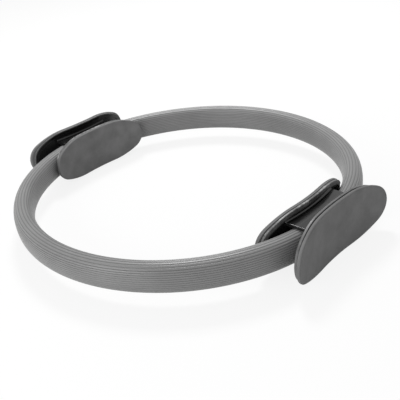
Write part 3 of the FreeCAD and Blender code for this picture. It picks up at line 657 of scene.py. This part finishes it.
def make_pad(name, side, which):
    """Rings of the outline from the back over the rounded edge to the middle of the face. A
    ring is (inset, depth under the face, share of its size, how much it is rim)."""
    node = f"{side}_{which}_pad"
    low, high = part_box(node)
    shape = pad_shapes[which]
    outline = plate_outlines[which]
    face_radius = shape["face_radius"]
    near_x, far_x = sorted((abs(low.x), abs(high.x)))
    back_x = near_x if which == "outer" else far_x
    axis_x = back_x - shape["faces"] * (face_radius + pad_thickness)
    back_edge = shape["back_edge"]
    rings = [(back_edge, pad_thickness, share, 0.0) for share in pad_back_rings]
    for step in range(1, pad_edge_rings + 1):
        turn = math.pi / 2 * step / pad_edge_rings
        inset = back_edge * (1 - math.sin(turn))
        depth = pad_thickness - back_edge * (1 - math.cos(turn))
        rings.append((inset, depth, 1.0, pad_back_rim))
    for step in range(pad_edge_rings + 1):
        turn = math.pi / 2 * step / pad_edge_rings
        inset = pad_edge * (1 - math.cos(turn))
        depth = pad_edge * (1 - math.sin(turn))
        rings.append((inset, depth, 1.0, math.cos(turn)))
    for step in range(1, pad_face_rings):
        share = 1 - step / pad_face_rings
        rings.append((pad_edge, -pad_crown * (1 - share ** 2), share, 0.0))

    def place(y, z, depth):
        radius = face_radius + depth
        x = axis_x + shape["faces"] * math.sqrt(radius ** 2 - y ** 2)
        return Vector((x, y, z)) if side == "right" else Vector((-x, -y, z))

    foam = bmesh.new()
    rim_layer = foam.verts.layers.float.new("rim")
    loops = []
    for inset, depth, share, rim in rings:
        loop = []
        for y, z in oval(high.y, high.z, outline["Flat"], outline["End Drop"], inset):
            sway = 0
            if depth <= 0:
                sway = pad_sway * noise.noise(Vector((y, z, depth)) / pad_sway_length)
            vertex = foam.verts.new(place(y * share, z * share, depth + sway))
            vertex[rim_layer] = rim
            loop.append(vertex)
        loops.append(loop)
    back_middle = foam.verts.new(place(0, 0, pad_thickness))
    face_middle = foam.verts.new(place(0, 0, -pad_crown))
    for loop, following in zip(loops, loops[1:]):
        for number, vertex in enumerate(loop):
            after = (number + 1) % len(loop)
            foam.faces.new((vertex, loop[after], following[after], following[number]))
    for middle, loop in ((back_middle, loops[0]), (face_middle, loops[-1])):
        for number, vertex in enumerate(loop):
            foam.faces.new((middle, vertex, loop[(number + 1) % len(loop)]))
    bmesh.ops.recalc_face_normals(foam, faces=foam.faces)
    mesh = bpy.data.meshes.new(name)
    foam.to_mesh(mesh)
    foam.free()
    mesh.shade_smooth()
    mesh.materials.append(foam_skin)
    pad = bpy.data.objects.new(name, mesh)
    bpy.context.scene.collection.objects.link(pad)
    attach(pad, f"{side}_handle")
    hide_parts(node)


for side in handles:
    for which in pad_shapes:
        make_pad(f"{side}_{which}_foam", side, which)


# Stage: a white floor under the rest edges of the handles, an even white surround, and softboxes
# behind and in front. The floor is lifted towards white for the camera and keeps a faint shadow.
floor_half = 12.0
floor_gap = 0.00005
floor_z = cad_low.z - floor_gap
floor_colour = (0.8, 0.8, 0.8, 1)
floor_shade = 0.2
floor_lift = 0.85
white = (1, 1, 1, 1)
surround = 0.40
lamps = {
    "rear_softbox": {"place": Vector((-0.6, 0.55, 1.2)), "size": 0.36, "power": 11.5},
    "front_softbox": {"place": Vector((0.0, -1.25, 0.4)), "size": 0.8, "power": 8.0},
}


def add_seen(nodes):
    """One for what the camera sees, straight or in gloss and glass, and nought for the light."""
    ray = add_node(nodes, "ShaderNodeLightPath").outputs
    mirrored = calc(nodes, "MAXIMUM", ray["Is Glossy Ray"], ray["Is Transmission Ray"])
    return calc(nodes, "MAXIMUM", ray["Is Camera Ray"], mirrored)


floor_mesh = bpy.data.meshes.new("floor")
corners = [(-1, -1), (1, -1), (1, 1), (-1, 1)]
corners = [(x * floor_half, y * floor_half, floor_z) for x, y in corners]
floor_mesh.from_pydata(corners, [], [(0, 1, 2, 3)])
floor = bpy.data.objects.new("floor", floor_mesh)
bpy.context.scene.collection.objects.link(floor)
floor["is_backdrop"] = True
paper = bpy.data.materials.new("white_paper")
paper.use_nodes = True
nodes = paper.node_tree
nodes.nodes.clear()
matt = add_node(nodes, "ShaderNodeBsdfDiffuse", {"Color": floor_colour}).outputs[0]
shade = add_node(nodes, "ShaderNodeBsdfDiffuse", {"Color": toned(floor_colour, floor_shade)})
lift = add_node(nodes, "ShaderNodeEmission", {"Strength": floor_lift})
lifted = add_node(nodes, "ShaderNodeAddShader", {0: shade.outputs[0], 1: lift.outputs[0]}).outputs[0]
both = add_node(nodes, "ShaderNodeMixShader", {0: add_seen(nodes), 1: matt, 2: lifted}).outputs[0]
add_node(nodes, "ShaderNodeOutputMaterial", {"Surface": both})
floor_mesh.materials.append(paper)

world = bpy.data.worlds.new("white_surround")
bpy.context.scene.world = world
world.use_nodes = True
nodes = world.node_tree
nodes.nodes.clear()
glow = spread(nodes, add_seen(nodes), (0.0, 1.0), (surround, 1.0))
sky = add_node(nodes, "ShaderNodeBackground", {"Color": white, "Strength": glow})
add_node(nodes, "ShaderNodeOutputWorld", {"Surface": sky.outputs[0]})

for name, lamp in lamps.items():
    light = bpy.data.lights.new(name, "AREA")
    light.shape = "SQUARE"
    light.size = lamp["size"]
    light.energy = lamp["power"]
    softbox = bpy.data.objects.new(name, light)
    softbox.location = lamp["place"]
    softbox.rotation_euler = (-lamp["place"]).to_track_quat("-Z", "Y").to_euler()
    softbox.visible_camera = False
    bpy.context.scene.collection.objects.link(softbox)


# Camera: the photograph's place, from the right and above, tipped a little to one side. It
# looks just past the middle of the hoop.
camera_azimuth = math.radians(47.4)
camera_elevation = math.radians(27.21)
camera_roll = math.radians(-6.93)
camera_distance = 0.644
camera_lens = 54.77
sensor_width = 36.0
aim_right = 0.0167
aim_up = -0.0373
camera_data = bpy.data.cameras.new("photo_camera")
camera_data.sensor_width = sensor_width
camera_data.lens = camera_lens
camera = bpy.data.objects.new("photo_camera", camera_data)
bpy.context.scene.collection.objects.link(camera)
level = math.cos(camera_elevation)
to_camera = Vector((
    math.sin(camera_azimuth) * level,
    -math.cos(camera_azimuth) * level,
    math.sin(camera_elevation),
))
sideways = Vector((math.cos(camera_azimuth), math.sin(camera_azimuth), 0))
upwards = sideways.cross(-to_camera)
sight = (aim_right * sideways + aim_up * upwards - to_camera).normalized()
right = sight.cross(Vector((0, 0, 1))).normalized()
up = right.cross(sight)
tipped_right = math.cos(camera_roll) * right + math.sin(camera_roll) * up
tipped_up = math.cos(camera_roll) * up - math.sin(camera_roll) * right
axes = Matrix((tipped_right, tipped_up, -sight)).transposed()
camera.matrix_world = Matrix.Translation(camera_distance * to_camera) @ axes.to_4x4()
bpy.context.scene.camera = camera
bpy.context.scene.view_settings.view_transform = "Standard"

low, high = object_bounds()
